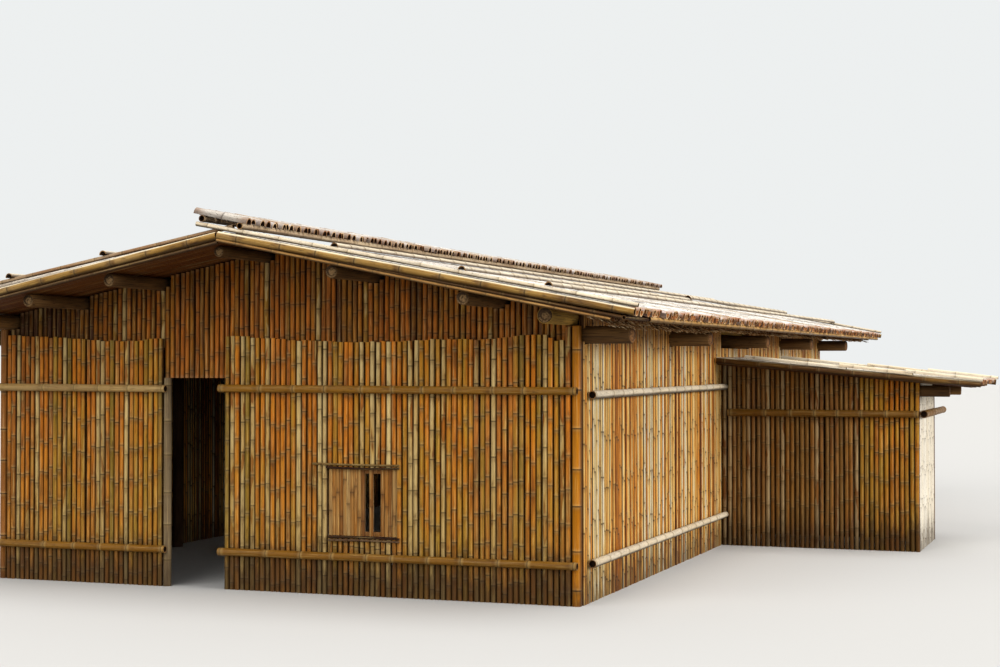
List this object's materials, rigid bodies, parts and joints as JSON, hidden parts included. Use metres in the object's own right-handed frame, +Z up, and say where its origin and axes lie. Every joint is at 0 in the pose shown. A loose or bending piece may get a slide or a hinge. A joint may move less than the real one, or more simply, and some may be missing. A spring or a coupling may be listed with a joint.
{
  "type": "bamboo house",
  "caption": "Long low bamboo house at ground level with culm walls, log frame, half-culm tile gable roof and a small lean-to at its side.",
  "frame": {"origin": "ground level at the middle of the front gable wall, under the ridge line", "axes": "+X to the right along the front gable wall, towards the lean-to's side; +Y from the front gable wall back along the ridge; +Z up"},
  "size_m": [9.8799, 14.58, 3.5395],
  "materials": {
    "wall_culm": "dry orange-brown bamboo skin with dark nodes and rain marks",
    "gable_culm": "shaded brown bamboo skin, smoother and darker than the walls",
    "side_culm": "sun-bleached bamboo with dark nodes",
    "corner_culm": "smooth orange-yellow bamboo pole",
    "grey_pole": "weathered grey pole",
    "slat": "dull split-bamboo slats",
    "twig": "dark thin poles with bark left on",
    "rail_pole": "weathered bamboo pole, beige to olive",
    "log": "debarked log, grey-brown, with pale cracked ends",
    "sheathing": "orange-brown split bamboo",
    "tile": "bleached half-culm tiles with dark specks and dark hollow ends",
    "verge_pole": "olive-yellow bamboo pole with dark nodes",
    "bleached_pole": "bleached bamboo pole, rough from weather"
  },
  "bodies": {
    "root": {"front_wall_left": "wall_culm", "front_wall_right": "wall_culm", "front_gable": "gable_culm", "rear_wall": "wall_culm", "rear_gable": "gable_culm", "side_wall_left": "side_culm", "side_wall_right": "side_culm", "corner_posts": "corner_culm", "door_jamb": "grey_pole", "window_panel": "slat", "window_poles": "twig", "front_rails": "rail_pole", "rear_rails": "rail_pole", "side_rails_left": "rail_pole", "side_rails_right": "rail_pole", "frame_posts": "log", "cross_beams": "log", "beam_struts": "log", "ridge_purlin": "log", "purlins_left": "log", "purlins_right": "log", "sheathing_left": "sheathing", "sheathing_right": "sheathing", "tiles_left": "tile", "tiles_right": "tile", "eave_poles": "verge_pole", "verge_left_front": "verge_pole", "verge_right_front": "verge_pole", "verge_left_rear": "verge_pole", "verge_right_rear": "verge_pole", "hold_poles_left": "bleached_pole", "hold_poles_right": "bleached_pole", "ridge_poles": "bleached_pole", "ridge_cap": "tile", "annex_front_wall": "wall_culm", "annex_side_wall": "side_culm", "annex_rear_wall": "wall_culm", "annex_posts": "log", "annex_rails": "rail_pole", "annex_beams": "log", "annex_sheathing": "sheathing", "annex_tiles": "tile"}
  },
  "joints": []
}
